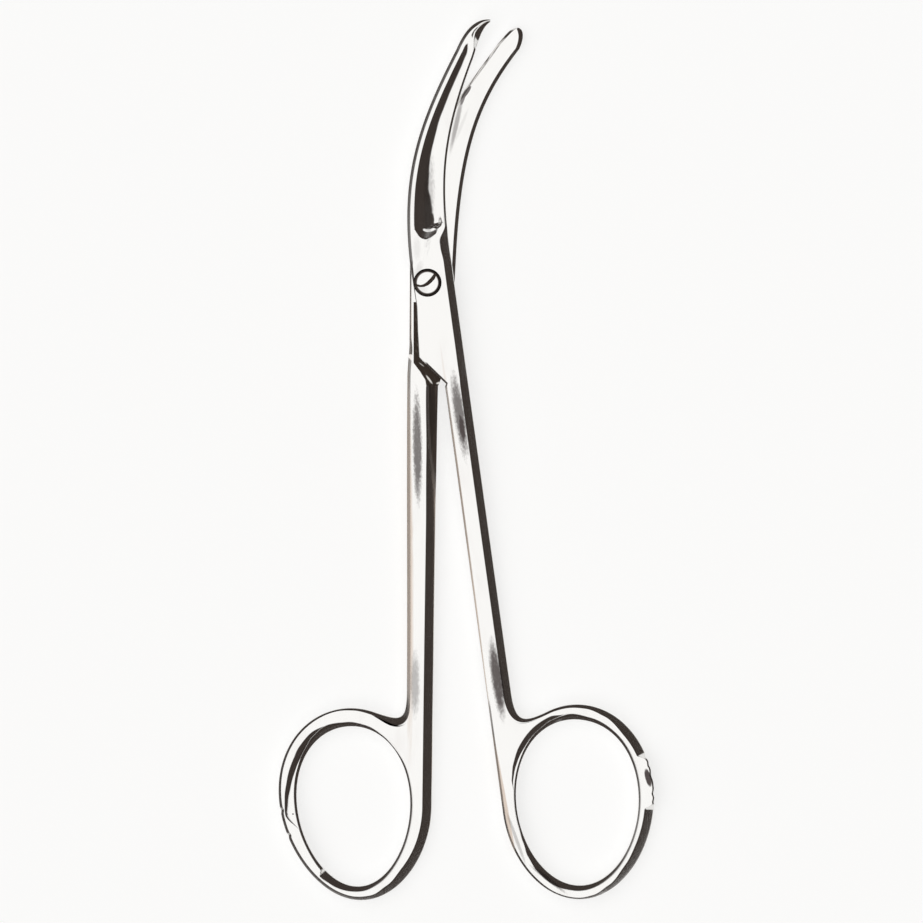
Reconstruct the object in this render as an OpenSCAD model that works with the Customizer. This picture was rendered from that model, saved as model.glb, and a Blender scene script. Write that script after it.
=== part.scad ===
// Suture scissors: two forged steel halves on one slotted screw.
// The hooked half lies on top, the blunt half underneath.
// Each half is one bar, from blade tip to finger ring, crossing in a lap joint.
// The blades are hollow ground on the outside and curve the same way.
// Origin: pivot axis, on the plane that the scissors lie on. Tips towards +Y, +Z up.

/* [Reach] */
// Distance from the pivot axis to the blade tips
blade_reach = 34.5; // [30:0.5:40]
// Distance from the pivot axis to the crotch between shank and ring
shank_reach = 60; // [54:0.5:68]
// How much further from the pivot the hooked half's ring lies
ring_stagger = 1.6; // [0:0.1:3]
// Angle between the halves as they lie, from fully closed
rest_opening = 7.5; // [5:0.5:12]

/* [Sections] */
// Thickness over both halves at the lap joint
joint_t = 3.2; // [2.8:0.1:3.8]
// Thickness of the finger rings
ring_t = 2.4; // [2:0.1:2.8]
// Thickness of one blade at its tip
tip_t = 0.85; // [0.7:0.05:1.1]
// Width of the lap joint
joint_w = 6.1; // [5.8:0.1:7]
// Depth of the hollow ground into the outside of each blade
hollow_depth = 0.45; // [0.2:0.05:0.55]
// Height of the cutting edge's side above the lap plane
edge_t = 0.4; // [0.3:0.05:0.6]

/* [Finger rings] */
// Width of the opening in the hooked half's ring
ring_w = 16.8; // [15:0.2:19]
// Length of the opening in the hooked half's ring
ring_l = 23; // [20:0.5:26]
// Width of the opening in the blunt half's ring
blunt_ring_w = 15.5; // [14:0.2:17]
// Length of the opening in the blunt half's ring
blunt_ring_l = 22.1; // [20:0.5:25]
// Mean wall of the hooked half's ring
ring_wall = 1.95; // [1.8:0.05:2.2]
// Mean wall of the blunt half's ring
blunt_ring_wall = 2.4; // [2.2:0.05:2.7]

/* [Pivot screw] */
// Diameter of the plain shaft that the hooked half turns on
shaft_d = 2.2; // [2:0.1:2.4]
// Diameter of the screw head
head_d = 3.7; // [3.4:0.1:3.8]
// Width of the slot in the screw head
slot_w = 0.42; // [0.3:0.02:0.5]
// Clearance round the shaft and the head in the hooked half
pivot_gap = 0.03; // [0.02:0.01:0.08]
// Gap between the two lap faces
face_gap = 0.04; // [0.02:0.01:0.1]

/* [Hidden] */
$fn = 48;

// The halves are drawn closed and face up, about the closed scissors' middle line,
// which lies this far to the right of the pivot. The blunt half is then turned over.
mid_x = 0.62;
mid_z = joint_t / 2;
HOOKED = 0;
BLUNT = 1;

// Blade outlines as curves: the back and the cutting edge, heel first.
// Across is in joint widths, along is in blade reaches.
heel_y = 3;
back_curve = [
    [[-0.438, 0.087], [-0.4, 0.434], [0.12, 0.623], [1.218, 0.904]],
    [[-0.538, 0.087], [-0.66, 0.53], [-1.04, 0.72], [-1.96, 0.93]]
];
edge_curve = [
    [[0.497, 0.087], [0.466, 0.424], [0.749, 0.596], [1.664, 0.893]],
    [[0.438, 0.087], [0.39, 0.57], [-0.774, 0.771], [-1.462, 0.95]]
];
back_tip_curve = [
    [[1.218, 0.904], [1.425, 0.965], [1.7, 1.024], [2.09, 1.004]],
    [[-1.96, 0.93], [-2.09, 0.975], [-2.06, 1.014], [-1.95, 1.016]]
];
edge_tip_curve = [
    [[1.554, 0.856], [1.689, 0.904], [1.852, 0.983], [2.066, 0.996]],
    [[-1.462, 0.95], [-1.63, 0.983], [-1.76, 1.014], [-1.87, 1.016]]
];
// The cutting edge is walked a little behind the back, so the sections stay square.
edge_lag = 0.945;

// Shank outlines: plate side, lap end, inner side at the joint and at the ring
plate_side = [[-0.425, -0.41, -0.467], [-0.51, -0.5, -0.5]];
plate_y = [0, -3, -6.5];
lap_end = [[-0.51, -10], [-0.505, -10.1]];
lap_corner = [[0.09, -14.06], [-0.82, -14.1]];
inner_joint = [-0.09, -0.82];
inner_ring = [0.14, 0];
outer_joint = joint_w / 2;
outer_spread = 0.4;
outer_ring = outer_joint + outer_spread;
crotch_y = [-shank_reach, -(shank_reach - ring_stagger)];
shank_end = [crotch_y[0] + 3, crotch_y[1] + 3];
crotch_drop = [3.7, 4.4];

// Finger ring openings: egg shapes, a little leaning
ring_half_w = [ring_w / 2, blunt_ring_w / 2];
ring_half_l = [ring_l / 2, blunt_ring_l / 2];
ring_egg = [0.057, 0.09];
ring_lean = -4.5;
wall_mean = [ring_wall, blunt_ring_wall];
wall_swell = [0.1, 0.4];
wall_swell_dir = [-6, 142];
wall_oval = [0.12, 0.33];
wall_oval_dir = [17, 22];
ring_gap = [0.14, 0.02];

// The web between shank and ring spans this sector of the ring.
web_from = 182;
web_to = 108;

// Where the hollow's rounded end starts, its length, and the land left along the back
hollow_end = 0.171 * blade_reach;
hollow_run_in = 2.3;
hollow_land = 0.35;
// The hollow gets shallower towards the tip and runs out on the tip curve.
hollow_tip_share = 0.45;
hollow_fade = 0.8;
// Length over which the outside slopes down to the cutting edge's height
edge_run_in = 4;
// Corner widths of a blade section: back, heel's right side, cutting edge, underside
back_round = 0.45;
heel_round = 1.15;
edge_round = 0.2;
under_round = 0.2;
// Extra bevel along the inside of the hook
hook_bevel = 0.75;
hook_start = 0.93;
// How far the widest line of a side lies below the lap plane
ridge_drop = 0.15;
// Corner widths of a shank section: inner and outer side, upper and lower corner
inner_upper = 0.3;
inner_lower = [2.3, 1.6];
inner_lower_joint = 0.5;
outer_upper = 1.55;
outer_upper_joint = 1.15;
outer_lower = 0.6;
// Heights of the widest lines of a shank, as shares of its thickness
inner_ridge = [0.9, 0.46];
outer_ridge = 0.4;
// Widths of the rounded corners of a ring section, as shares of its wall
ring_outer_share = 0.5;
ring_inner_share = 0.4;
tip_ts = [1.98, 1.88, 1.74, 1.58, 1.4, 1.2];
blade_ts = [
    1, 0.93, 0.86, 0.79, 0.72, 0.65, 0.58, 0.51, 0.44, 0.37, 0.3, 0.235, 0.18,
    0.135, 0.113, 0.097, 0.086, 0.0806, 0.04, 0
];
row = 9;
row_last = row - 1;
quarter = 2;
side = 2 * quarter + 1;
loop = 2 * row + 2 * side;
ring_steps = 26;

function lerp(a, b, t) = a + (b - a) * t;
function clamp(t) = max(0, min(1, t));
function ease(t) = clamp(t) * clamp(t) * (3 - 2 * clamp(t));
function cubic(p, t) =
    pow(1 - t, 3) * p[0] + 3 * pow(1 - t, 2) * t * p[1]
    + 3 * (1 - t) * t * t * p[2] + pow(t, 3) * p[3];
function sized(p) = [p[0] * joint_w, p[1] * blade_reach];
function blade_point(curve, t) = sized(cubic(curve, t));

// Egg-shaped ring opening, its outward direction and the wall round it
function egg(k, a) =
    let (
        x = ring_half_w[k] * cos(a) * (1 + ring_egg[k] * sin(a)),
        y = ring_half_l[k] * sin(a)
    )
    [x * cos(ring_lean) - y * sin(ring_lean), x * sin(ring_lean) + y * cos(ring_lean)];
function wall(k, a) =
    wall_mean[k] + wall_swell[k] * cos(a - wall_swell_dir[k])
    + wall_oval[k] * cos(2 * (a - wall_oval_dir[k]));
function ring_centre(k) = [
    ring_gap[k] + ring_half_w[k] + wall(k, 180),
    crotch_y[k] - ring_half_l[k] - wall(k, 90) + 0.1
];
function opening(k, a) = ring_centre(k) + egg(k, a);
function outward(k, a) =
    let (d = egg(k, a + 0.5) - egg(k, a - 0.5))
    [d[1], -d[0]] / norm(d);

// A quarter of an edge: exponent 1 is round, 2 is a flat bevel
function bow(a, e) = pow(sin(a), e);

// Side of a section as [inset, height] pairs, from the upper corner down to the lower
function side_profile(upper_w, lower_w, top, ridge, low, e) = [
    for (i = [1:quarter])
        let (a = 90 * i / (quarter + 1))
        [upper_w * (1 - bow(a, e)), ridge + (top - ridge) * bow(90 - a, e)],
    [0, ridge],
    for (i = [quarter:-1:1])
        let (a = 90 * i / (quarter + 1))
        [lower_w * (1 - bow(a, e)), ridge + (low - ridge) * bow(90 - a, e)]
];

function up(p, z) = [p[0], p[1], z];

// Hollow of the blade: position 0 to 1 across, steep at the back, shallow at the edge
function scoop(q) = 2.6 * pow(q, 0.6) * pow(1 - q, 1.3);

// One closed loop of points across the bar
function section(left, right, spots, heights, low, lw, rw, lp, rp) =
    let (
        across = (right - left) / norm(right - left),
        tl = left + across * lw[0],
        tr = right - across * rw[0],
        bl = left + across * lw[1],
        br = right - across * rw[1]
    )
    [
        for (i = [0:row_last]) up(lerp(tl, tr, spots[i]), heights[i]),
        for (p = rp) up(right - across * p[0], p[1]),
        for (i = [row_last:-1:0]) up(lerp(bl, br, i / row_last), low),
        for (i = [side - 1:-1:0]) up(left + across * lp[i][0], lp[i][1])
    ];

even_spots = [for (i = [0:row_last]) i / row_last];

// Blade section at t, 0 at the heel and 1 where the tip curve starts, up to 2 at the tip
function blade_left(k, t) =
    t <= 1 ? blade_point(back_curve[k], t) : blade_point(back_tip_curve[k], t - 1);
function blade_right(k, t) =
    t <= 1 ? blade_point(edge_curve[k], t * (k == HOOKED ? edge_lag : 1))
           : blade_point(edge_tip_curve[k], t - 1);

function blade_section(k, t) =
    let (
        left = blade_left(k, t),
        right = blade_right(k, t),
        width = norm(right - left),
        along = (left[1] + right[1]) / 2,
        thin = clamp((along - heel_y) / (blade_reach - heel_y)),
        back_z = lerp(joint_t, mid_z + tip_t, thin),
        in_hollow = clamp((along - hollow_end) / hollow_run_in),
        round_end = sqrt(1 - pow(1 - in_hollow, 2)),
        fade = t <= 1 ? 1 : max(0, 1 - (t - 1) / hollow_fade),
        depth = hollow_depth * round_end * fade * lerp(1, hollow_tip_share, thin),
        edge_z = lerp(back_z, mid_z + edge_t, ease((along - hollow_end) / edge_run_in)),
        bevel = k == HOOKED
            ? hook_bevel * sin(180 * clamp((t - hook_start) / (2 - hook_start))) : 0,
        back_w = min(back_round, 0.3 * width),
        heel = 1 - ease((along - heel_y) / edge_run_in - 0.25),
        edge_w = min(lerp(edge_round, heel_round, heel) + bevel, 0.5 * width),
        flat_w = width - back_w - edge_w,
        land = min(0.4, hollow_land / flat_w),
        rim = 1 - min(0.2, 0.12 / flat_w),
        steps = [0, 0.08, 0.22, 0.42, 0.64, 0.85, 1],
        spread = max(0.3, round_end),
        narrow = [for (q = steps) lerp(lerp(land, rim, 0.5), lerp(land, rim, q), spread)],
        spots = [0, for (v = narrow) v, 1],
        heights = [
            for (i = [0:row_last])
                lerp(back_z, edge_z, clamp((spots[i] - land) / (rim - land)))
                - (i > 0 && i < row_last ? depth * scoop(steps[i - 1]) : 0)
        ],
        ridge = mid_z - ridge_drop,
        low = mid_z - 0.5,
        low_w = min(under_round, 0.3 * width),
        lp = side_profile(back_w, low_w, back_z, ridge, low, 1.4),
        rp = side_profile(edge_w, low_w, edge_z, ridge, low, 1.5)
    )
    section(left, right, spots, heights, low, [back_w, low_w], [edge_w, low_w], lp, rp);

// Joint and shank section at height y, and at lap end parameter s from 0 to 1
function shank_right(k, y) = [lerp(outer_joint, outer_ring, clamp(y / shank_end[k])), y];
function shank_t(y) = lerp(joint_t, ring_t, ease((-y - 14) / (shank_reach - 20 - ring_stagger)));
// The blunt half is turned over, so it tapers from below for both undersides to lie level.
function base_z(k, thick) = k == BLUNT ? joint_t - thick : 0;
function shank_section(k, left, right) =
    let (
        y = (left[1] + right[1]) / 2,
        thick = shank_t(y),
        low = base_z(k, thick),
        top = low + thick,
        joint = 1 - ease((-y - 8) / 6),
        lw = [inner_upper, lerp(inner_lower[k], inner_lower_joint, joint)],
        rw = [lerp(outer_upper, outer_upper_joint, joint), outer_lower],
        inner_z = lerp(low + thick * inner_ridge[k], mid_z - ridge_drop, joint),
        outer_z = lerp(low + thick * outer_ridge, mid_z - ridge_drop, joint),
        lp = side_profile(lw[0], lw[1], top, inner_z, low, 2),
        rp = side_profile(rw[0], rw[1], top, outer_z, low, 1.7),
        heights = [for (i = [0:row_last]) top]
    )
    section(left, right, even_spots, heights, low, lw, rw, lp, rp);

// Ring section, seen outward: the outer side's profile and the two corner widths
function outer_w(k, a) = ring_outer_share * wall(k, a);
function inner_w(k, a) = ring_inner_share * wall(k, a);
function corner_point(k, a) = opening(k, a) + outward(k, a) * (wall(k, a) - outer_w(k, a));
function ring_low(k) = base_z(k, ring_t);
function ring_side(k, w) =
    side_profile(w, w, ring_low(k) + ring_t, ring_low(k) + ring_t / 2, ring_low(k), 1);
function ring_section(k, a) =
    let (
        inner = opening(k, a),
        dir = outward(k, a),
        outer = inner + dir * wall(k, a),
        corner = corner_point(k, a),
        op = ring_side(k, outer_w(k, a)),
        ip = ring_side(k, inner_w(k, a)),
        low = ring_low(k),
        top = low + ring_t
    )
    [
        up(corner, top),
        up(inner + dir * inner_w(k, a), top),
        for (p = ip) up(inner + dir * p[0], p[1]),
        up(inner + dir * inner_w(k, a), low),
        up(corner, low),
        for (i = [side - 1:-1:0]) up(outer - dir * op[i][0], op[i][1])
    ];

// The web between shank and ring: every point of the shank's last section has its own
// path to a point on the ring, the outermost one round the crotch.
function web_section(k, s) =
    let (
        ring_left = opening(k, web_from) + outward(k, web_from) * wall(k, web_from),
        ring_right = opening(k, web_to) + outward(k, web_to) * wall(k, web_to),
        start_left = [lerp(inner_joint[k], inner_ring[k], 0.8), shank_end[k]],
        start_right = [outer_ring, shank_end[k]],
        left = lerp(start_left, ring_left, s),
        right = cubic([
            start_right, start_right - [0, crotch_drop[k] + 0.6],
            start_right + [0.7, -crotch_drop[k]], ring_right
        ], s),
        turn = 180 + web_to * ease(s),
        into = [cos(turn), sin(turn)],
        t = ease(s * 1.3),
        lw = [
            lerp(inner_upper, outer_w(k, web_from), t),
            lerp(inner_lower[k], outer_w(k, web_from), t)
        ],
        rw = [
            lerp(outer_upper, outer_w(k, web_to), t),
            lerp(outer_lower, outer_w(k, web_to), t)
        ],
        low = ring_low(k),
        top = low + ring_t,
        inner_z = low + ring_t * lerp(inner_ridge[k], 0.5, t),
        outer_z = low + ring_t * lerp(outer_ridge, 0.5, t),
        lp = side_profile(lw[0], lw[1], top, inner_z, low, lerp(2, 1, t)),
        rp = side_profile(rw[0], rw[1], top, outer_z, low, lerp(1.7, 1, t)),
        goal = [for (i = [0:row_last]) corner_point(k, lerp(web_from, web_to, i / row_last))],
        upper = web_row(
            start_left + [inner_upper, 0], start_right - [outer_upper, 0], goal,
            left + [lw[0], 0], right + into * rw[0], s
        ),
        lower = web_row(
            start_left + [inner_lower[k], 0], start_right - [outer_lower, 0], goal,
            left + [lw[1], 0], right + into * rw[1], s
        )
    )
    [
        for (p = upper) up(p, top),
        for (p = rp) up(right + into * p[0], p[1]),
        for (i = [row_last:-1:0]) up(lower[i], low),
        for (i = [side - 1:-1:0]) up(left + [lp[i][0], 0], lp[i][1])
    ];
function web_row(a, b, goal, left, right, s) =
    let (
        left_drift = left - lerp(a, goal[0], s),
        right_drift = right - lerp(b, goal[row_last], s)
    )
    [
        for (i = [0:row_last])
            let (f = i / row_last)
            lerp(lerp(a, b, f), goal[i], s) + left_drift * pow(1 - f, 2) + right_drift * pow(f, 2)
    ];

// All loops of the bar, tip first, up to the last one before the ring
function bar_loops(k) = [
    for (t = tip_ts) blade_section(k, t),
    for (t = blade_ts) blade_section(k, t),
    for (i = [0:2])
        shank_section(k, [joint_w * plate_side[k][i], plate_y[i]], shank_right(k, plate_y[i])),
    for (s = [0, 0.35, 0.7, 1])
        let (p = lerp([lap_end[k][0] * joint_w, lap_end[k][1]], lap_corner[k], s))
        shank_section(k, p, shank_right(k, p[1] + 1)),
    for (i = [1:8])
        let (
            s = i / 8,
            y = lerp(lap_corner[k][1], shank_end[k], pow(s, 1.2)),
            x = lerp(inner_joint[k], inner_ring[k], 0.8 * s)
        )
        shank_section(k, [x, y], shank_right(k, y)),
    for (s = [0.15, 0.3, 0.45, 0.6, 0.75, 0.88]) web_section(k, s)
];

function quad(a, b, c, d) = [[a, c, b], [a, d, c]];

module bar_and_ring(k) {
    loops = bar_loops(k);
    count = len(loops);
    bar_size = count * loop;
    web_angles = [for (i = [0:row_last]) lerp(web_from, web_to, i / row_last)];
    rest_angles = [for (i = [1:ring_steps - 1]) lerp(web_to, web_from - 360, i / ring_steps)];
    angles = concat(web_angles, rest_angles);
    ring_count = len(angles);
    per_ring = 4 + 2 * side;
    points = concat(
        [for (l = loops) each l],
        [for (a = angles) each ring_section(k, a)]
    );
    // Points of the ring that close the bar's last loop, in the loop's own order
    mouth = concat(
        [for (i = [0:row_last]) bar_size + i * per_ring],
        [for (j = [side - 1:-1:0]) bar_size + row_last * per_ring + 4 + side + j],
        [for (i = [row_last:-1:0]) bar_size + i * per_ring + 3 + side],
        [for (j = [0:side - 1]) bar_size + 4 + side + j]
    );
    function bar_index(c, i) = c < count ? c * loop + i % loop : mouth[i % loop];
    function ring_index(c, i) = bar_size + (c % ring_count) * per_ring + i % per_ring;
    skin = [
        for (c = [0:count - 1])
            for (i = [0:loop - 1])
                each quad(
                    bar_index(c, i), bar_index(c + 1, i),
                    bar_index(c + 1, i + 1), bar_index(c, i + 1)
                )
    ];
    tip_cap = [
        for (i = [0:row - 2])
            each quad(i, i + 1, row + side + row_last - i - 1, row + side + row_last - i),
        for (j = [0:side - 1]) [row_last, row + j + 1, row + j],
        for (j = [0:side - 1]) [0, row + side + row_last + j + 1, row + side + row_last + j]
    ];
    ring_skin = [
        for (c = [0:ring_count - 1])
            for (i = [0:per_ring - 1])
                if (!(c < row_last && i >= 3 + side))
                    each quad(
                        ring_index(c, i), ring_index(c, i + 1),
                        ring_index(c + 1, i + 1), ring_index(c + 1, i)
                    )
    ];
    polyhedron(points = points, faces = concat(skin, tip_cap, ring_skin), convexity = 10);
}

// What is milled away under the lap, seen from above: everything past the shoulder
lap_shoulder = [
    [[8, -10.3], [joint_w / 2 + 0.35, -10.3], [2.55, -13.5], [1.05, -14.5], [-8, -14.5]],
    [[8, -10.0], [joint_w / 2 + 0.35, -10.0], [1.65, -12.14], [0.96, -13.3], [0.82, -14], [-8, -14.1]]
];
module lap_cut(k) {
    floor_z = mid_z + face_gap / 2;
    translate([0, 0, -1])
        linear_extrude(height = floor_z + 1)
            polygon(concat(lap_shoulder[k], [[-20, -14], [-20, 45], [20, 45], [20, -10]]));
}

// Shallow relief in the blunt half's lap face, up to its shoulder
lap_relief = [
    [2.54, -2.6], [2.54, -10.95], [1.6, -12.2], [0.9, -13.4], [-1.2, -13.3], [-2.3, -10], [-2.3, -2.6]
];
relief_depth = 0.12;

module half(k) {
    difference() {
        bar_and_ring(k);
        lap_cut(k);
        if (k == BLUNT)
            translate([0, 0, mid_z])
                linear_extrude(height = face_gap / 2 + relief_depth) polygon(lap_relief);
    }
}

head_z = joint_t;
sink_depth = 0.7;

module hooked_half() {
    color("silver")
        rotate([0, 0, rest_opening])
            difference() {
                translate([mid_x, 0, 0]) half(HOOKED);
                translate([0, 0, -1])
                    cylinder(d = shaft_d + 2 * pivot_gap, h = joint_t + 2);
                translate([0, 0, head_z - sink_depth])
                    cylinder(
                        d1 = shaft_d + 2 * pivot_gap + 0.1,
                        d2 = head_d + 2 * pivot_gap, h = sink_depth + 0.01
                    );
            }
}

module blunt_half() {
    color("silver")
        difference() {
            translate([mid_x, 0, joint_t])
                rotate([0, 180, 0]) half(BLUNT);
            translate([0, 0, -1])
                cylinder(d = shaft_d, h = joint_t + 2);
        }
}

module pivot_screw() {
    color("gray")
        difference() {
            union() {
                cylinder(d = shaft_d, h = joint_t - 0.2);
                translate([0, 0, head_z - sink_depth + 0.03])
                    cylinder(d1 = shaft_d, d2 = head_d, h = sink_depth - 0.03);
                translate([0, 0, head_z - 0.02]) dome();
            }
            rotate([0, 0, 34])
                translate([-head_d, -slot_w / 2, head_z - 0.25])
                    cube([2 * head_d, slot_w, 2]);
        }
}

dome_rise = 0.35;
module dome() {
    dome_r = (head_d * head_d / 4 + dome_rise * dome_rise) / (2 * dome_rise);
    intersection() {
        cylinder(d = head_d - 0.04, h = dome_rise);
        translate([0, 0, dome_rise - dome_r]) sphere(r = dome_r, $fn = 96);
    }
}

blunt_half();
hooked_half();
pivot_screw();
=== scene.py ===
"""Looks of the suture scissors: the two halves and the screw in polished steel, lying on a pale floor."""

import math

import bpy
import numpy as np
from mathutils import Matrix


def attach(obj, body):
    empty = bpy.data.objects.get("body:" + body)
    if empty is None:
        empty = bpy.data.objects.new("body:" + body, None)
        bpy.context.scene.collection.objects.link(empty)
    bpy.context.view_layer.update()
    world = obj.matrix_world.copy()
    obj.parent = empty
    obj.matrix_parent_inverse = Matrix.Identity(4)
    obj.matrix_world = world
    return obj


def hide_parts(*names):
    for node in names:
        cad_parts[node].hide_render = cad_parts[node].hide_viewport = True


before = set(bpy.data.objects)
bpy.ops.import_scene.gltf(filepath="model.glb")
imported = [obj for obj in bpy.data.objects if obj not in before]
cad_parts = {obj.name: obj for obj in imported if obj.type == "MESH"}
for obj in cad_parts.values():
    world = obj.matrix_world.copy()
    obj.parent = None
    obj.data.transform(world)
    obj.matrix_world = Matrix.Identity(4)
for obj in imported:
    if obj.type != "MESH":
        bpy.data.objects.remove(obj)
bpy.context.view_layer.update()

MM = 0.001
PX = 7.29  # photo pixels per mm
PIVOT_PX = (427.5, 283)  # the pivot in the photo

# Sizes in mm, as in the source. Each half is drawn closed and face up, with the pivot at the origin.
BLADE = 34.5
SHANK = 60.0
STAGGER = 1.6
OPENING = 7.5
JOINT_T = 3.2
RING_T = 2.4
TIP_T = 0.85
JOINT_W = 6.1
EDGE_T = 0.4
MID_X = 0.62
MID_Z = JOINT_T / 2
GAP = 0.04
HOOKED, BLUNT = 0, 1
HEEL_Y = 3.0

BACK = [
    [[-0.438, 0.087], [-0.4, 0.434], [0.12, 0.623], [1.218, 0.904]],
    [[-0.538, 0.087], [-0.66, 0.53], [-1.04, 0.72], [-1.96, 0.93]],
]
EDGE = [
    [[0.497, 0.087], [0.466, 0.424], [0.749, 0.596], [1.664, 0.893]],
    [[0.438, 0.087], [0.39, 0.57], [-0.774, 0.771], [-1.462, 0.95]],
]
BACK_TIP = [
    [[1.218, 0.904], [1.425, 0.965], [1.7, 1.024], [2.09, 1.004]],
    [[-1.96, 0.93], [-2.09, 0.975], [-2.06, 1.014], [-1.95, 1.016]],
]
EDGE_TIP = [
    [[1.554, 0.856], [1.689, 0.904], [1.852, 0.983], [2.066, 0.996]],
    [[-1.462, 0.95], [-1.63, 0.983], [-1.76, 1.014], [-1.87, 1.016]],
]
EDGE_LAG = 0.945
PLATE_SIDE = [[-0.425, -0.41, -0.467], [-0.51, -0.5, -0.5]]
PLATE_Y = [0, -3, -6.5]
LAP_END = [[-0.51, -10], [-0.505, -10.1]]
LAP_CORNER = [[0.09, -14.06], [-0.82, -14.1]]
INNER_JOINT = [-0.09, -0.82]
INNER_RING = [0.14, 0]
OUTER_JOINT = JOINT_W / 2
OUTER_RING = JOINT_W / 2 + 0.4
CROTCH_Y = [-SHANK, -(SHANK - STAGGER)]
SHANK_END = [CROTCH_Y[0] + 3, CROTCH_Y[1] + 3]
CROTCH_DROP = [3.7, 4.4]
RING_HALF_W = [8.4, 7.75]
RING_HALF_L = [11.5, 11.05]
RING_EGG = [0.057, 0.09]
RING_LEAN = -4.5
WALL = [1.95, 2.4]
WALL_SWELL = [0.1, 0.4]
WALL_SWELL_DIR = [-6, 142]
WALL_OVAL = [0.12, 0.33]
WALL_OVAL_DIR = [17, 22]
RING_GAP = [0.14, 0.02]
WEB_FROM, WEB_TO = 182, 108
HOLLOW_END = 0.171 * BLADE

LAP_SHOULDER = [
    [[8, -10.3], [3.4, -10.3], [2.55, -13.5], [1.05, -14.5], [-8, -14.5]],
    [[8, -10.0], [3.4, -10.0], [1.65, -12.14], [0.96, -13.3], [0.82, -14], [-8, -14.1]],
]
LAP_RELIEF = [
    [2.54, -2.6], [2.54, -10.95], [1.62, -12.2], [0.92, -13.3],
    [0.8, -14.03], [-0.9, -14.04], [-2.3, -10], [-2.3, -2.6],
]
RELIEF_T = 0.14


def lerp(a, b, t):
    return a + (b - a) * t


def clamp(t):
    return min(1.0, max(0.0, t))


def ease(t):
    """Smooth step from 0 to 1."""
    t = clamp(t)
    return t * t * (3 - 2 * t)


def vec(*v):
    return np.array(v, float)


def cubic(p, t):
    """A point of a cubic Bezier curve."""
    p = np.array(p, float)
    return (1 - t) ** 3 * p[0] + 3 * (1 - t) ** 2 * t * p[1] + 3 * (1 - t) * t * t * p[2] + t**3 * p[3]


def cosd(a):
    return math.cos(math.radians(a))


def sind(a):
    return math.sin(math.radians(a))


def table(points, x, period=None):
    """Smooth value between a few (x, value) pairs."""
    xs = [p[0] for p in points]
    vs = [p[1] for p in points]
    if period:
        x = (x - xs[0]) % period + xs[0]
        xs, vs = xs + [xs[0] + period], vs + [vs[0]]
    x = min(max(x, xs[0]), xs[-1])
    for i in range(len(xs) - 1):
        if x <= xs[i + 1]:
            return lerp(vs[i], vs[i + 1], ease((x - xs[i]) / (xs[i + 1] - xs[i])))
    return vs[-1]


# Rings. Directions are in degrees, as seen in the closed, face-up drawing.
def egg(k, a):
    """The ring's opening as an egg-shaped curve about its centre."""
    x = RING_HALF_W[k] * cosd(a) * (1 + RING_EGG[k] * sind(a))
    y = RING_HALF_L[k] * sind(a)
    return vec(x * cosd(RING_LEAN) - y * sind(RING_LEAN), x * sind(RING_LEAN) + y * cosd(RING_LEAN))


def wall(k, a):
    """Width of the ring's bar at a direction."""
    return (
        WALL[k]
        + WALL_SWELL[k] * cosd(a - WALL_SWELL_DIR[k])
        + WALL_OVAL[k] * cosd(2 * (a - WALL_OVAL_DIR[k]))
    )


def ring_centre(k):
    return vec(
        RING_GAP[k] + RING_HALF_W[k] + wall(k, 180),
        CROTCH_Y[k] - RING_HALF_L[k] - wall(k, 90) + 0.1,
    )


def opening(k, a):
    return ring_centre(k) + egg(k, a)


def outward(k, a):
    """Unit vector square to the opening's outline."""
    d = egg(k, a + 0.5) - egg(k, a - 0.5)
    return vec(d[1], -d[0]) / np.linalg.norm(d)


# Width in mm of the sloping facet on the inner and outer side of each ring, by direction
RING_INNER = [
    [
        (0, 0.3), (50, 0.34), (75, 0.55), (92, 0.85), (108, 0.6), (121, 0.35), (151, 0.15), (196, 0.12),
        (206, 0.3), (216, 0.7), (228, 0.9), (245, 0.95), (262, 0.75), (300, 0.45), (330, 0.32),
    ],
    [
        (0, 0.22), (30, 0.3), (45, 0.45), (58, 0.8), (70, 1.0), (90, 0.65), (108, 0.35), (122, 0.1),
        (136, 0.02), (160, 0.24), (190, 0.34), (225, 0.38), (250, 0.5), (270, 0.7), (300, 0.95),
        (309, 1.1), (313, 0.3), (330, 0.22),
    ],
]
# Ridge line in the upper outer part of each ring: its distance from the opening and its dark width
RING_RIDGE = [
    [(70, 0.3), (98, 0.9), (110, 1.15), (125, 1.25), (140, 1.2), (152, 1.0), (162, 0.75), (171, 0.3)],
    [(-15, 0.3), (-1, 1.75), (10, 1.65), (21, 1.5), (39, 1.4), (56, 1.2), (75, 0.9), (95, 0.3)],
]
RIDGE_DARK = [
    [(96, 0), (108, 0.6), (122, 0.82), (138, 0.78), (150, 0.45), (160, 0.2), (169, 0)],
    [(-3, 0), (6, 0.3), (16, 0.6), (30, 0.85), (44, 0.95), (58, 0.6), (72, 0)],
]
RING_OUTER = [
    [
        (0, 0.1), (25, 0.1), (29, 1.2), (45, 1.2), (66, 0.75), (80, 0.45), (95, 0.3), (108, 0.24),
        (182, 0.2), (230, 0.2), (250, 0.1), (268, 0.1), (278, 0.25), (292, 0.7), (312, 1.15), (330, 1.3),
        (353, 1.3), (357, 0.1),
    ],
    [
        (0, 0.34), (30, 0.28), (60, 0.2), (84, 0.12), (95, 0.2), (108, 0.36), (182, 1.3), (205, 1.3),
        (228, 1.35), (246, 1.0), (262, 0.55), (280, 0.42), (300, 0.4), (330, 0.36),
    ],
]
# The openings' upper ends are this much lower, in mm, about this direction and over this half width
RING_FILL = [0.24, 0.12]
FILL_AT, FILL_W = 84, 30
RING_STEPS = 361  # sections round the free part of a ring
# The facet on a ring's inner side drops at most this share of the ring's thickness
RING_DROP = 0.46
# Narrow facets get up to this much more width, fading out at the second width
FACET_MORE, FACET_WIDE = 0.13, 0.8
# Slope in degrees of the facets that show dark, and of those that face left and show grey
SIDE_SLOPE = 38.5
LEFT_SLOPE = 35.5
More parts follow.
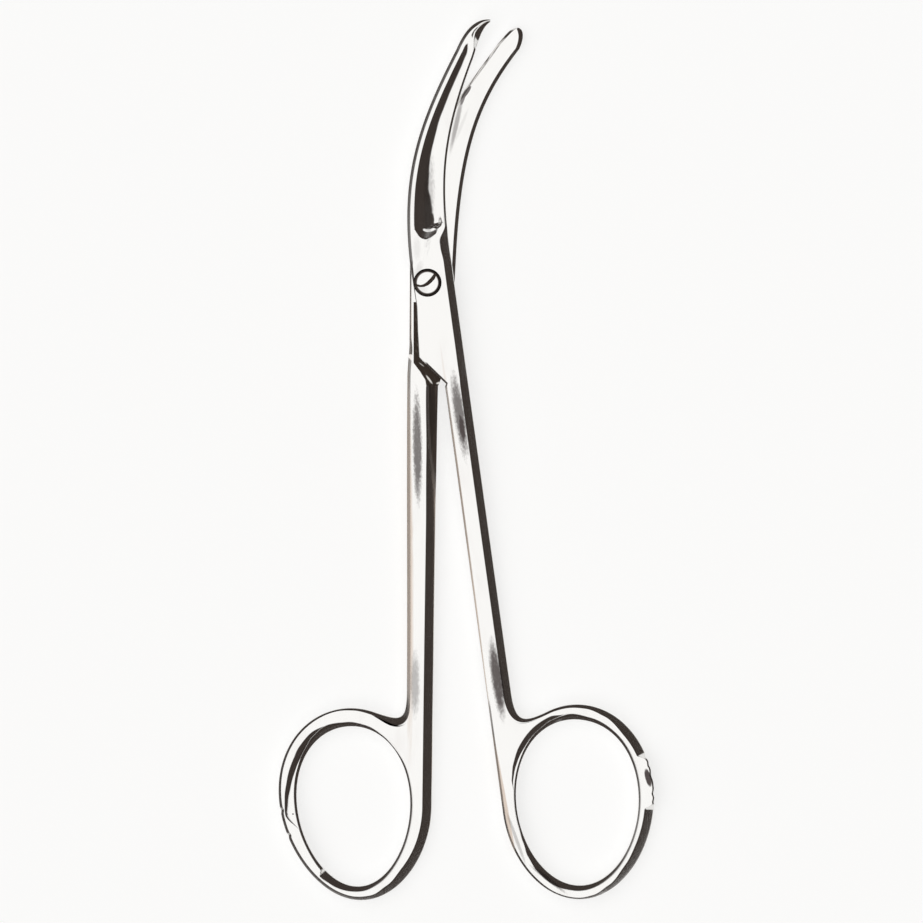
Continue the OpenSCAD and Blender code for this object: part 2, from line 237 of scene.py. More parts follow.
# Nicks in the outer sides of the rings: direction, half width in degrees, depth in mm
NICKS = [
    [(26, 1.6, 0.16), (20.5, 1.2, 0.1), (14, 2.2, 0.12), (3, 1.5, 0.15), (358, 1.2, 0.1)],
    [(1.5, 1.3, 0.14), (345, 1.2, 0.14)],
]


def nick(k, a):
    """Depth of the nicks at a direction."""
    return sum(d * math.exp(-(((a - c + 180) % 360 - 180) / w) ** 2) for c, w, d in NICKS[k])


def drops(pos, slope, limit):
    """Drops along a profile with these slopes in degrees, scaled down where they would pass the limit."""
    g = np.tan(np.radians(slope))
    drop = np.concatenate([[0], np.cumsum((g[1:] + g[:-1]) / 2 * np.diff(pos))])
    if drop[-1] > limit:
        drop = drop * limit / drop[-1]
    return drop[1:]


def ridged(dark, gentle, inner, limit):
    """Insets and drops of a ring's inner side: dark step, gentle strip, steep edge."""
    pos = np.concatenate([vec(0, 0.3, 0.7, 1) * dark, dark + vec(0.15, 0.5, 0.85, 1) * gentle])
    pos = np.concatenate([pos, dark + gentle + vec(0.07, 0.5, 0.93, 0.97, 1) * inner])
    slope = vec(0, 38, 38, 38, 12, 5, 5, 12, 38, 38, 38, 39, 60)
    return (dark + gentle + inner - pos)[1:], drops(pos, slope, limit)


def spec(w, slope=None):
    """Corner with hardly any gentle part: widths and slopes."""
    return (0.05, w, 8.0, slope or SIDE_SLOPE)


def facet_width(rows, a):
    """Width of a ring's facet at a direction."""
    w = table(rows, a, 360)
    return w + FACET_MORE * (1 - ease(w / FACET_WIDE))


def ring_out(k, a):
    """Corner on the outer side of a ring."""
    return spec(facet_width(RING_OUTER[k], a))


# Corners of the sections: a gentle part beside the flat, then a steep one, as shares of their widths
GENTLE = vec(0, 0.2, 0.5, 0.8)
STEEP = vec(0, 0.06, 0.15, 0.35, 0.6, 0.8, 0.92, 0.97, 1)
CORNER = len(GENTLE) + len(STEEP) - 1  # points of a corner, without the flat's own


def corner(w1, w2, s1=8.0, s2=SIDE_SLOPE, limit=1e9):
    """Insets from the edge and drops below the flat, from the flat outwards."""
    w1, w2 = max(w1, 0.02), max(w2, 0.03)
    pos = np.concatenate([GENTLE * w1, w1 + STEEP * w2])
    slope = np.concatenate(
        [[0, 0.7 * s1, s1, s1], [(s1 + s2) / 2, 0.93 * s2, s2, s2, s2, s2 + 0.5, s2 + 1, s2 + 1.5, 66]]
    )
    return (w1 + w2 - pos)[1:], drops(pos, slope, limit)


ROW = 25  # points across the top of a section, and as many across the bottom
SIDE = 2 * CORNER + 1  # points of a section's side
LOOP = 2 * ROW + 2 * SIDE


def edge_side(upper, lower, top, low, ridge=0.5):
    """Side of a section as insets and heights, from the upper corner down to the lower."""
    ui, ud = corner(*upper, limit=(top - low) * (0.96 - ridge))
    li, ld = corner(*lower, limit=(top - low) * (ridge - 0.04))
    inset = np.concatenate([ui, [0], li[::-1]])
    height = np.concatenate([top - ud, [(top - ud[-1] + low + ld[-1]) / 2], low + ld[::-1]])
    return inset, height


def width(c):
    return max(c[0], 0.02) + max(c[1], 0.03)


def section(left, right, spots, heights, low, tl, tr, bl, br, ridge=0.5, ridge_r=0.5):
    """A closed loop of points: top from left to right, right side, bottom, left side.

    The corners tl, tr, bl and br give widths and slopes. The ridges are where the upper and the lower
    corner of a side meet, as shares of its height.
    """
    across = (right - left) / np.linalg.norm(right - left)
    li, lh = edge_side(tl, bl, heights[0], low, ridge)
    ri, rh = edge_side(tr, br, heights[-1], low, ridge_r)
    top_l, top_r = left + across * width(tl), right - across * width(tr)
    bot_l, bot_r = left + across * width(bl), right - across * width(br)
    pts = []
    for s, h in zip(spots, heights):
        p = lerp(top_l, top_r, s)
        pts.append((p[0], p[1], h))
    for i, h in zip(ri, rh):
        p = right - across * i
        pts.append((p[0], p[1], h))
    for s in np.linspace(1, 0, ROW):
        p = lerp(bot_l, bot_r, s)
        pts.append((p[0], p[1], low))
    for i, h in zip(li[::-1], lh[::-1]):
        p = left + across * i
        pts.append((p[0], p[1], h))
    return np.array(pts)


EVEN = np.linspace(0, 1, ROW)
LAP = MID_Z + GAP / 2


# Blades. The height t on a blade runs from 0 at the heel over 1 at the tip curve's start to 2 at the tip.
def sized(p):
    return p * vec(JOINT_W, BLADE)


def blade_left(k, t):
    return sized(cubic(BACK[k], t) if t <= 1 else cubic(BACK_TIP[k], t - 1))


def blade_right(k, t):
    lag = EDGE_LAG if k == HOOKED else 1
    return sized(cubic(EDGE[k], t * lag) if t <= 1 else cubic(EDGE_TIP[k], t - 1))


# Widths in mm across a blade's top: facet on the back, facet on the edge, flat land before the hollow,
# and the strip between the hollow and the edge's facet
BACK_W, EDGE_W, LAND_W, RIM_W = 0.45, 0.3, 0.35, 0.12
# Most width in mm of the bevel inside the hook, and the least thickness of a blade
HOOK_BEVEL = 0.7
THIN = 0.3
# Width in mm of the hollow's dark wall along the back, by height on the blade
WALL_W = [(5.9, 2.8), (8.4, 2.8), (11, 2.2), (13.5, 1.5), (18, 1.0), (23, 0.7), (28.4, 0.55), (32, 0.3)]
# Drop of the hollow's rounded end by distance from its rim: rim, grey band, bright lip, step, floor
END_AT = [0, 0.14, 1.05, 1.38, 1.75, 6]
END_DROP = [0, 0.12, 0.53, 0.53, 0.88, 3.5]
RUN_IN = 2.2  # length in mm of the rounded end
FULL = 6.0  # a drop that is deeper than any hollow
# The hollow's wall: its least and greatest slope in degrees and the length of the bend into the floor
WALL_SLOPE = (21, 34)
WALL_BEND = 0.35
# Width in mm of the dark side at the heel, by height on the blade
HEEL_W = [(3.0, 1.18), (4.6, 1.4), (6.3, 1.7)]
# Places of the points across the hollow, as shares of its width
ACROSS = np.concatenate([[0, 0.02, 0.05], np.linspace(0.09, 0.91, 15), [0.95, 0.98, 1]])


def rough_edge(y):
    """Slow waves along the blade, so that ground surfaces end unevenly."""
    return 0.5 * math.sin(1.9 * y + 0.4) + 0.3 * math.sin(4.3 * y + 1.1) + 0.2 * math.sin(9.7 * y)


def hollow_drop(x, y, full):
    """Drop below the back at x mm from the left rim, y mm from the pivot; full is the drop to reach."""
    w = table(WALL_W, y) + lerp(0.14, 0.02, ease((y - 12) / 5)) * rough_edge(y)
    least, most = (math.tan(math.radians(v)) for v in WALL_SLOPE)
    slope = min(max(full / (w + WALL_BEND), least), most)
    drop = slope * min(x, w) + (slope * WALL_BEND * (1 - math.exp(-(x - w) / WALL_BEND)) if x > w else 0)
    return drop * min(1, 0.6 + x / 0.3 * 0.4)


def blade_section(k, t):
    """Section of a blade, with the hollow in the top of its drawing, at the height t."""
    left, right = blade_left(k, t), blade_right(k, t)
    w = float(np.linalg.norm(right - left))
    along = (left[1] + right[1]) / 2
    thin = clamp((along - HEEL_Y) / (BLADE - HEEL_Y))
    back_z = lerp(JOINT_T, MID_Z + TIP_T, thin)
    run = clamp((along - HOLLOW_END) / RUN_IN)
    plan = math.sqrt(1 - (1 - run) ** 2)
    fade = 1 - ease((t - 1.05) / 0.34)
    edge_z = lerp(back_z, MID_Z + EDGE_T, ease((along - HOLLOW_END + 0.8) / 6.5))
    bevel = HOOK_BEVEL * sind(180 * clamp((t - 1.22) / 0.74)) if k == HOOKED else 0
    # at the heel the edge's facet widens into the shank's dark side, with a blurred inner border
    heel = 1 - ease((along - 4.9) / 2.9)
    blur = heel * ease((along - 3.2) / 2.6)
    if k == HOOKED:
        edge_z = lerp(edge_z, back_z - 0.1, ease((t - 1.05) / 0.25))
    back_w = min(BACK_W, 0.3 * w)
    edge_w = min(lerp(EDGE_W, table(HEEL_W, along), heel) + bevel, 0.5 * w)
    tl = (0.1 * back_w, 1.1 * back_w, 8, lerp(36.5, 34.3, ease((t - 0.3) / 0.8)))
    tr = (lerp(0.06, 0.25, blur) * edge_w, lerp(0.94, 0.78, blur) * edge_w, lerp(8, 15, blur))
    flat = w - width(tl) - width(tr)
    # from here on, places across the top are shares of its width between the two facets
    land = min(0.4, LAND_W / flat)
    rim = 1 - min(0.2, RIM_W / flat)
    spread = max(0.02, plan)
    mid = lerp(land, rim, 0.5)
    inside = lerp(mid, lerp(land, rim, ACROSS), spread)
    spots = np.concatenate([[0, land * 0.5], inside, [lerp(inside[-1], 1, 0.5), 1]])
    slope = np.clip((spots - land) / (rim - land), 0, 1)
    level = back_z - (back_z - edge_z) * slope
    heights = level.copy()
    half = (rim - land) * flat / 2
    for i in range(2, len(spots) - 2):
        x = (spots[i] - land) * flat
        across = (spots[i] - mid) * flat / half
        reach = RUN_IN * (1 - math.hypot(1 - run, across)) if run < 1 else FULL
        end = float(np.interp(reach, END_AT, END_DROP)) if run < 1 else FULL
        if run < 1:
            end += max(0.0, (run - 0.6) * 2.0) ** 2
        side = lerp(back_z - level[i], hollow_drop(x, along, back_z - edge_z + 0.03), fade)
        floor_z = back_z - min(side, end)
        goal = min(floor_z, level[i] + 0.02)
        # towards the edge the hollow rises or falls to the cutting edge's height
        near = ease((spots[i] - lerp(mid, rim, 0.5)) / (rim - mid) * 2) * ease((along - HOLLOW_END) / 1.2)
        heights[i] = lerp(goal, edge_z + 0.02, near)
    heights = np.maximum(heights, LAP + THIN)
    tip = clamp((t - 1) / 0.6)
    # the blunt half shows its lower face, so its lower corners are the wide ones
    if k == BLUNT:
        bl, br = (0.05, lerp(0.5, 0.66, tip)), (0.03, lerp(0.4, 0.5, tip))
    else:
        bl, br = (0.03, 0.08), (0.02, 0.05)
    cap = lerp(0.26, 0.46, tip) * w
    bl, br = (min(bl[0], cap / 12), min(bl[1], cap)), (min(br[0], cap / 12), min(br[1], cap))
    return section(left, right, spots, heights, LAP, tl, tr, bl, br, 0.5, 0.14 if k == HOOKED else 0.8)


# Shanks
BULGE = 0.24
# Undercut of the hooked half's inner side: width, slope and where it meets the upper corner
NEST_W, NEST_SLOPE, NEST_RIDGE = 2.2, 50.0, 0.88
# Width in mm of the facet on the blunt half's inner side, by distance below the pivot
INNER_BAND = [(14, 1.62), (24, 1.4), (34, 1.3), (57, 1.3)]


def shank_t(y):
    """Thickness of a shank."""
    return lerp(JOINT_T, RING_T, ease((-y - 14) / (SHANK - 20 - STAGGER)))


def base_z(k, thick):
    """Height of a drawing's lower face, so that both undersides lie level when the blunt half is turned."""
    return JOINT_T - thick if k == BLUNT else 0


def shank_right(k, y):
    """Outer side of a shank."""
    bulge = BULGE * ease((-y - 8) / 5) * (1 - ease((-y - 16) / 40)) if k == BLUNT else 0
    return vec(lerp(OUTER_JOINT, OUTER_RING, clamp(y / SHANK_END[k])) + bulge, y)


def shank_corners(k, y):
    """The four corners of a shank section: upper left, upper right, lower left, lower right."""
    joint = 1 - ease((-y - 8) / 6)
    strip = lerp(0.42, 0.06, joint)
    tl = (0.03, 0.3, 8.0, LEFT_SLOPE)
    tr = (strip, 1.1, 8.0, SIDE_SLOPE)
    if k == BLUNT:
        return tl, tr, spec(table(INNER_BAND, -y)), (0.12, 0.52, 8.0, LEFT_SLOPE)
    return tl, tr, spec(lerp(NEST_W, 0.3, joint), NEST_SLOPE), (0.28, 0.3, 8.0, SIDE_SLOPE)


def shank_section(k, left, right, cut):
    """Section of a shank, or of its lap plate if cut."""
    y = (left[1] + right[1]) / 2
    thick = shank_t(y)
    low = base_z(k, thick)
    top = low + thick
    tl, tr, bl, br = shank_corners(k, y)
    ridge = 0.5
    if cut:
        low = LAP
        bl, br = (0.02, 0.06), (0.02, 0.06)
        if k == BLUNT:
            bl = (0.05, lerp(0.06, 0.5, ease((y + 6) / 5)))
            br = (0.05, lerp(0.24, 0.5, ease((-y - 7) / 3)))
        else:
            tl = (0.02, lerp(0.4, 0.1, ease((3 - y) / 5)))
            return section(left, right, EVEN, np.full(ROW, top), low, tl, tr, bl, br, 0.5, 0.08)
    elif k == HOOKED:
        ridge = lerp(NEST_RIDGE, 0.5, 1 - ease((-y - 8) / 6))
    return section(left, right, EVEN, np.full(ROW, top), low, tl, tr, bl, br, ridge)


def mixed(a, b, t):
    return tuple(lerp(np.array(a), np.array(b), t))


def web_section(k, s):
    """Section of the web between the shank's end and the ring, which opens out into an arc of the ring."""
    ring_left = opening(k, WEB_FROM) + outward(k, WEB_FROM) * wall(k, WEB_FROM)
    ring_right = opening(k, WEB_TO) + outward(k, WEB_TO) * wall(k, WEB_TO)
    start_left = vec(lerp(INNER_JOINT[k], INNER_RING[k], 0.8), SHANK_END[k])
    start_right = vec(OUTER_RING, SHANK_END[k])
    left = lerp(start_left, ring_left, s)
    drop = start_right + vec(0.7, -CROTCH_DROP[k])
    along = outward(k, WEB_TO) @ np.array([[0, -1], [1, 0]])
    end = ring_right - along * float(np.linalg.norm(ring_right - drop))
    right = cubic([start_right, start_right - vec(0, CROTCH_DROP[k] + 0.6), end, ring_right], s)
    turn = 180 + WEB_TO * ease(s)
    into = vec(cosd(turn), sind(turn))
    tl, tr, bl, br = shank_corners(k, SHANK_END[k])
    out_l = ring_out(k, WEB_FROM)
    out_r = ring_out(k, WEB_TO)
    tt = ease(s * 1.15)
    hump = sind(180 * clamp(s)) ** 2
    tl2, bl2 = mixed(tl, out_l, tt), mixed(bl, out_l, tt)
    tr2, br2 = mixed(tr, out_r, tt), mixed(br, out_r, tt)
    if k == BLUNT:  # the crotch of the blunt half is a wide hollow rounding
        hump = sind(180 * clamp(s) ** 1.5) ** 1.5
        br2 = (br2[0] + 0.1 * hump, br2[1] + 0.65 * hump, 8.0, lerp(br2[3], SIDE_SLOPE, ease(s * 3)))
        tr2 = (tr2[0], max(tr2[1], br2[1]), 8.0, SIDE_SLOPE)
    low = base_z(k, RING_T)
    top = low + RING_T
    angles = np.linspace(WEB_FROM, WEB_TO, ROW)
    goal = np.array([opening(k, a) + outward(k, a) * (wall(k, a) - width(ring_out(k, a))) for a in angles])

    def path(a, b, l2, r2):
        f = EVEN[:, None]
        l_drift = l2 - lerp(a, goal[0], s)
        r_drift = r2 - lerp(b, goal[-1], s)
        return lerp(lerp(a, b, f), goal, s) + l_drift * (1 - f) ** 2 + r_drift * f**2

    def face(l1, r1, l2, r2):
        """Top or bottom of the section, between the corners at the web's start and here."""
        return path(
            start_left + vec(width(l1), 0),
            start_right - vec(width(r1), 0),
            left + vec(width(l2), 0),
            right + into * width(r2),
        )

    upper = face(tl, tr, tl2, tr2)
    lower = face(bl, br, bl2, br2)
    li, lh = edge_side(tl2, bl2, top, low, lerp(NEST_RIDGE, 0.5, tt) if k == HOOKED else 0.5)
    ri, rh = edge_side(tr2, br2, top, low)
    pts = [(p[0], p[1], top) for p in upper]
    pts += [(right[0] + into[0] * i, right[1] + into[1] * i, h) for i, h in zip(ri, rh)]
    pts += [(p[0], p[1], low) for p in lower[::-1]]
    pts += [(left[0] + i, left[1], h) for i, h in zip(li[::-1], lh[::-1])]
    return np.array(pts)


def ring_section(k, a):
    """Section of a ring, with a second ridge in its upper outer part."""
    d = outward(k, a)
    outer = opening(k, a) + d * (wall(k, a) - nick(k, a))
    inner = opening(k, a) - d * RING_FILL[k] * math.exp(-(((a % 360) - FILL_AT) / FILL_W) ** 2)
    cout = ring_out(k, a)
    low = base_z(k, RING_T)
    top = low + RING_T
    oi, oh = edge_side(cout, cout, top, low)
    turn = (a + 90) % 360 - 90
    dark = table(RIDGE_DARK[k], turn)
    edge = max(0.06, facet_width(RING_INNER[k], a))
    ridge = max(table(RING_RIDGE[k], turn), dark + edge + 0.02)
    ui, ud = ridged(max(dark, 0.01), ridge - dark - edge, edge, RING_T * RING_DROP)
    into = ridge + max(0, 0.01 - dark)
    ii = np.concatenate([ui, [0], ui[::-1]])
    ih = np.concatenate([top - ud, [(top + low) / 2], low + ud[::-1]])
    pts = [(*(outer - d * width(cout)), top), (*(inner + d * into), top)]
    pts += [(*(inner + d * i), h) for i, h in zip(ii, ih)]
    pts += [(*(inner + d * into), low), (*(outer - d * width(cout)), low)]
    pts += [(*(outer - d * i), h) for i, h in zip(oi[::-1], oh[::-1])]
    return np.array(pts)


# One half as a mesh
# Runs of sections on a blade: from, to, count, close together at the hollow's rounded end
BLADE_RUNS = [(1.985, 1.0, 44), (0.985, 0.22, 60), (0.216, 0.08, 60), (0.07, 0, 6)]
SHANK_STEPS = 56


def bar_loops(k):
    """Sections of the bar from the tip of the blade to the ring."""
    loops = []
    for t in np.concatenate([np.linspace(*run) for run in BLADE_RUNS]):
        loops.append(blade_section(k, float(t)))
    side_y = [3.0] + PLATE_Y + [LAP_END[k][1]]
    side_x = [BACK[k][0][0] * JOINT_W] + [JOINT_W * v for v in PLATE_SIDE[k]] + [LAP_END[k][0] * JOINT_W]
    for y in np.linspace(2.6, PLATE_Y[2], 20):
        x = float(np.interp(-y, [-v for v in side_y], side_x))
        loops.append(shank_section(k, vec(x, y), shank_right(k, y), True))
    for s in np.linspace(0.08, 0.95, 12):
        y = lerp(PLATE_Y[2], LAP_END[k][1], s)
        x = float(np.interp(-y, [-v for v in side_y], side_x))
        loops.append(shank_section(k, vec(x, y), shank_right(k, y + s), True))
    a = vec(LAP_END[k][0] * JOINT_W, LAP_END[k][1])
    for s in np.linspace(0, 1, 14):
        p = lerp(a, vec(*LAP_CORNER[k]), s)
        loops.append(shank_section(k, p, shank_right(k, p[1] + 1), p[1] > -10.9))
    for i in range(1, SHANK_STEPS + 1):
        s = i / SHANK_STEPS
        y = lerp(LAP_CORNER[k][1], SHANK_END[k], s**1.2)
        x = lerp(INNER_JOINT[k], INNER_RING[k], 0.8 * s)
        loops.append(shank_section(k, vec(x, y), shank_right(k, y), False))
    for s in np.linspace(0.04, 0.97, 36):
        loops.append(web_section(k, float(s)))
    return loops


def half_mesh(k, name):
    """One closed skin: the bar's loops, a mouth of ring points that takes up the last one, and the ring."""
    loops = bar_loops(k)
    count = len(loops)
    size = count * LOOP
    around = np.linspace(WEB_TO, WEB_FROM - 360, RING_STEPS)[1:-1]
    angles = list(np.linspace(WEB_FROM, WEB_TO, ROW)) + list(around)
    per = 4 + 2 * SIDE
    rings = [ring_section(k, float(a)) for a in angles]
    verts = np.concatenate([np.concatenate(loops), np.concatenate(rings)])
    last = ROW - 1
    mouth = [size + i * per for i in range(ROW)]
    mouth += [size + last * per + 4 + SIDE + j for j in range(SIDE - 1, -1, -1)]
    mouth += [size + i * per + 3 + SIDE for i in range(last, -1, -1)]
    mouth += [size + 4 + SIDE + j for j in range(SIDE)]
    faces = []

    def at(c, i):
        return c * LOOP + i % LOOP if c < count else mouth[i % LOOP]

    for c in range(count):
        for i in range(LOOP):
            faces.append((at(c, i), at(c, i + 1), at(c + 1, i + 1), at(c + 1, i)))
    faces.append(tuple(range(LOOP - 1, -1, -1)))
    n = len(angles)
    for c in range(n):
        for i in range(per):
            if c < last and i >= 3 + SIDE:
                continue
            d = (c + 1) % n
            here, there, j = size + c * per, size + d * per, (i + 1) % per
            faces.append((here + i, there + i, there + j, here + j))
    mesh = bpy.data.meshes.new(name)
    mesh.from_pydata((verts * MM).tolist(), [], faces)
    mesh.update()
    return mesh


def prism(points, z0, z1, name):
    """A closed upright prism over an outline in mm."""
    n = len(points)
    v = [(x * MM, y * MM, z0 * MM) for x, y in points] + [(x * MM, y * MM, z1 * MM) for x, y in points]
    f = [tuple(range(n - 1, -1, -1)), tuple(range(n, 2 * n))]
    f += [(i, (i + 1) % n, n + (i + 1) % n, n + i) for i in range(n)]
    mesh = bpy.data.meshes.new(name)
    mesh.from_pydata(v, [], f)
    pairs = zip(points, points[1:] + points[:1])
    area = sum(a[0] * b[1] - b[0] * a[1] for a, b in pairs)
    if area < 0:
        mesh.flip_normals()
    return mesh


def add(mesh, name):
    obj = bpy.data.objects.new(name, mesh)
    bpy.context.scene.collection.objects.link(obj)
    return obj


def cut(obj, cutter_mesh, material=None):
    """Take the cutter away from the object; the new faces get the material."""
    cutter_mesh.materials.append(material or obj.data.materials[0])
    cutter = add(cutter_mesh, "cutter")
    m = obj.modifiers.new("cut", "BOOLEAN")
    m.operation = "DIFFERENCE"
    m.solver = "MANIFOLD"
    m.material_mode = "TRANSFER"
    m.object = cutter
    bpy.context.view_layer.update()
    dg = bpy.context.evaluated_depsgraph_get()
    made = bpy.data.meshes.new_from_object(obj.evaluated_get(dg), depsgraph=dg)
    obj.modifiers.clear()
    old = obj.data
    obj.data = made
    bpy.data.meshes.remove(old)
    bpy.data.objects.remove(cutter)
    return obj


def lathe(profile, n, name):
    """A closed solid of revolution from (radius, height) pairs, both ends on the axis."""
    v, f = [], []
    for r, z in profile[1:-1]:
        for i in range(n):
            a = 2 * math.pi * i / n
            v.append((r * math.cos(a) * MM, r * math.sin(a) * MM, z * MM))
    rows = len(profile) - 2
    v += [(0, 0, profile[0][1] * MM), (0, 0, profile[-1][1] * MM)]
    for j in range(rows - 1):
        for i in range(n):
            f.append((j * n + i, j * n + (i + 1) % n, (j + 1) * n + (i + 1) % n, (j + 1) * n + i))
    for i in range(n):
        f.append((rows * n, (i + 1) % n, i))
        f.append((rows * n + 1, (rows - 1) * n + i, (rows - 1) * n + (i + 1) % n))
    mesh = bpy.data.meshes.new(name)
    mesh.from_pydata(v, [], f)
    mesh.update()
    return mesh


def soften(obj, angle=32):
    """Smooth shading, with sharp edges above the angle in degrees."""
    obj.data.shade_smooth()
    obj.data.set_sharp_from_angle(angle=math.radians(angle))


def canonical(obj, k):
    """From the closed, face-up drawing to the place in the frame."""
    n = len(obj.data.vertices)
    co = np.empty(n * 3)
    obj.data.vertices.foreach_get("co", co)
    co = co.reshape(-1, 3)
    if k == BLUNT:
        co = np.stack([MID_X * MM - co[:, 0], co[:, 1], JOINT_T * MM - co[:, 2]], 1)
    else:
        x, y = co[:, 0] + MID_X * MM, co[:, 1]
        c, s = cosd(OPENING), sind(OPENING)
        co = np.stack([x * c - y * s, x * s + y * c, co[:, 2]], 1)
    obj.data.vertices.foreach_set("co", co.ravel())
    obj.data.update()


# Painted shade for the milled recess, the countersink and the slot: near black, put on the faces that the
# cuts make
RECESS_SHADE = bpy.data.materials.new("steel_recess_shade")
# The lap is cut below this y, as the sections above are drawn without it, and this far under its face
LAP_TOP_Y = -7.2
LAP_SKIN = 0.003


def make_half(k, name, material):
    """One half in its place, with its lap and the blunt half's relief cut out."""
    obj = add(half_mesh(k, name), name)
    obj.data.materials.append(bpy.data.materials.new(material))
    outline = LAP_SHOULDER[k] + [[-20, -14], [-20, LAP_TOP_Y], [20, LAP_TOP_Y], [20, -10]]
    cut(obj, prism(outline, -1, LAP - LAP_SKIN, "lap"))
    if k == BLUNT:
        # the relief's cut faces get the painted shade
        cut(obj, prism(LAP_RELIEF, MID_Z - 1, LAP + RELIEF_T, "relief"), RECESS_SHADE)
    canonical(obj, k)
    return obj


blunt = make_half(BLUNT, "blunt_half_steel", "steel_blunt")
hooked = make_half(HOOKED, "hooked_half_steel", "steel_hooked")

# Countersink and bore of the hooked half, with a little chamfer at the rim, as (radius, height)
ROUND = 96  # sides of the round parts
sink = [(0, 3.6), (2.2, 3.6), (1.93, 3.2), (1.885, 3.12), (1.2, 2.5), (1.14, 2.4), (1.14, 0.9), (0, 0.9)]
# the countersink's faces get the painted shade
cut(hooked, lathe(sink[::-1], ROUND, "sink"), RECESS_SHADE)
cut(blunt, lathe([(0, -0.5), (1.1, -0.5), (1.1, 1.7), (0, 1.7)], ROUND, "bore"))

# Screw: shaft, cone, rounded rim and a low dome, as (radius, height)
head = [(0, 0.0), (1.095, 0.0), (1.095, 2.5), (1.7, 3.08), (1.78, 3.17)]
for s in np.linspace(0, 1, 9).tolist():
    head.append((lerp(1.8, 1.5, s), 3.2 + 0.2 * (1 - (1 - s) ** 2)))
for r in (1.4, 1.2, 1.0, 0.8, 0.6, 0.4, 0.2, 0.1):
    head.append((r, 3.4 + 0.11 * (1 - (r / 1.5) ** 2)))
head.append((0, 3.51))
screw = add(lathe(head, ROUND, "pivot_screw_steel"), "pivot_screw_steel")
screw.data.materials.append(bpy.data.materials.new("steel_screw"))
# The slot's two sides in plan: worn, so that it looks like a crescent
lower = [(1.22, 1.04), (0.99, 0.48), (0.55, 0.0), (0.08, -0.38), (-0.49, -0.6), (-1.1, -0.62), (-1.75, -0.4)]
upper = [(-1.75, -0.12), (-0.95, -0.34), (-0.55, -0.22), (-0.15, 0.03), (0.41, 0.6), (0.8, 1.1), (1.05, 1.4)]
# the slot's faces get the painted shade
cut(screw, prism([list(p) for p in lower + upper], 3.12, 4, "slot"), RECESS_SHADE)


# Steel
def px(x, y, z=0.0):
    """A point of the photo's plane in the frame."""
    return ((x - PIVOT_PX[0]) / PX * MM, (PIVOT_PX[1] - y) / PX * MM, z)


class Nodes:
    """The node tree of a material, with the few kinds of nodes that the steel needs."""

    def __init__(self, name):
        self.mat = bpy.data.materials.get(name)
        self.mat.use_nodes = True
        self.tree = self.mat.node_tree
        self.tree.nodes.clear()
        self.coord = self.add("ShaderNodeTexCoord")

    def add(self, kind, **props):
        n = self.tree.nodes.new(kind)
        for key, value in props.items():
            setattr(n, key, value)
        return n

    def link(self, a, b):
        self.tree.links.new(a, b)

    def math(self, op, a, b=None, c=None, clamp=False):
        n = self.add("ShaderNodeMath", operation=op, use_clamp=clamp)
        for socket, value in zip(n.inputs, (a, b, c)):
            if value is None:
                continue
            if isinstance(value, (int, float)):
                socket.default_value = value
            else:
                self.link(value, socket)
        return n.outputs[0]

    def mapping(self, centre, size, angle=0.0):
        """Coordinates in units of size about centre, turned by angle."""
        m = self.add("ShaderNodeMapping", vector_type="TEXTURE")
        m.inputs["Location"].default_value = centre
        m.inputs["Rotation"].default_value = (0, 0, math.radians(angle))
        m.inputs["Scale"].default_value = size
        self.link(self.coord.outputs["Object"], m.inputs["Vector"])
        return m.outputs[0]

    def noise(self, vector, scale, detail=3.0, rough=0.55):
        n = self.add("ShaderNodeTexNoise")
        n.inputs["Scale"].default_value = scale
        n.inputs["Detail"].default_value = detail
        n.inputs["Roughness"].default_value = rough
        self.link(vector, n.inputs["Vector"])
        return n.outputs["Fac"]

    def split(self, vector):
        n = self.add("ShaderNodeSeparateXYZ")
        self.link(vector, n.inputs[0])
        return n.outputs

    def ramp(self, value, low, high):
        m = self.add("ShaderNodeMapRange", interpolation_type="SMOOTHSTEP")
        m.inputs["From Min"].default_value = low
        m.inputs["From Max"].default_value = high
        self.link(value, m.inputs["Value"])
        return m.outputs[0]

    def spot(self, x, y, half_w, half_l, angle=0.0, soft=0.5):
        """1 inside an ellipse given in photo pixels, fading out over the share soft."""
        v = self.mapping(px(x, y, 0.0016), (half_w / PX * MM, half_l / PX * MM, 0.01), angle)
        length = self.add("ShaderNodeVectorMath", operation="LENGTH")
        self.link(v, length.inputs[0])
        return self.ramp(length.outputs["Value"], 1.0 + soft / 2, 1.0 - soft / 2)

    def mix(self, fac, a, b):
        m = self.add("ShaderNodeMix", data_type="RGBA")
        self.link(fac, m.inputs["Factor"])
        for socket, value in ((m.inputs["A"], a), (m.inputs["B"], b)):
            if isinstance(value, tuple):
                socket.default_value = (*value, 1)
            else:
                self.link(value, socket)
        return m.outputs["Result"]

    def finish(self, color, rough, height, strength, distance):
        b = self.add("ShaderNodeBsdfPrincipled")
        b.inputs["Metallic"].default_value = 1.0
        self.link(color, b.inputs["Base Color"])
        self.link(rough, b.inputs["Roughness"])
        bump = self.add("ShaderNodeBump")
        bump.inputs["Strength"].default_value = strength
        bump.inputs["Distance"].default_value = distance
        self.link(height, bump.inputs["Height"])
        self.link(bump.outputs[0], b.inputs["Normal"])
        out = self.add("ShaderNodeOutputMaterial")
        self.link(b.outputs[0], out.inputs["Surface"])
        return self.mat


BRIGHT = (0.80, 0.79, 0.775)
CLOUDY = (0.765, 0.75, 0.735)
# painted shade of the recesses, near black, and its lighter grain tone
DARK = (0.032, 0.024, 0.019)
SHADE_GRAIN_TONE = (0.10, 0.085, 0.075)
# lighter marks on the painted shade of the recess, one of them a painted highlight
LIGHT_MARK = (0.62, 0.6, 0.57)
# grey marks: wear, and in places painted shade and reflection
GREY_MARK_AND_SHADE = (0.075, 0.062, 0.06)
# tan bands along the steep left edges: a painted reflection
TAN_EDGE_REFLECTION = (0.62, 0.53, 0.46)
# painted shade on the screw head's sloping rim
RIM_SHADE = (0.06, 0.048, 0.042)
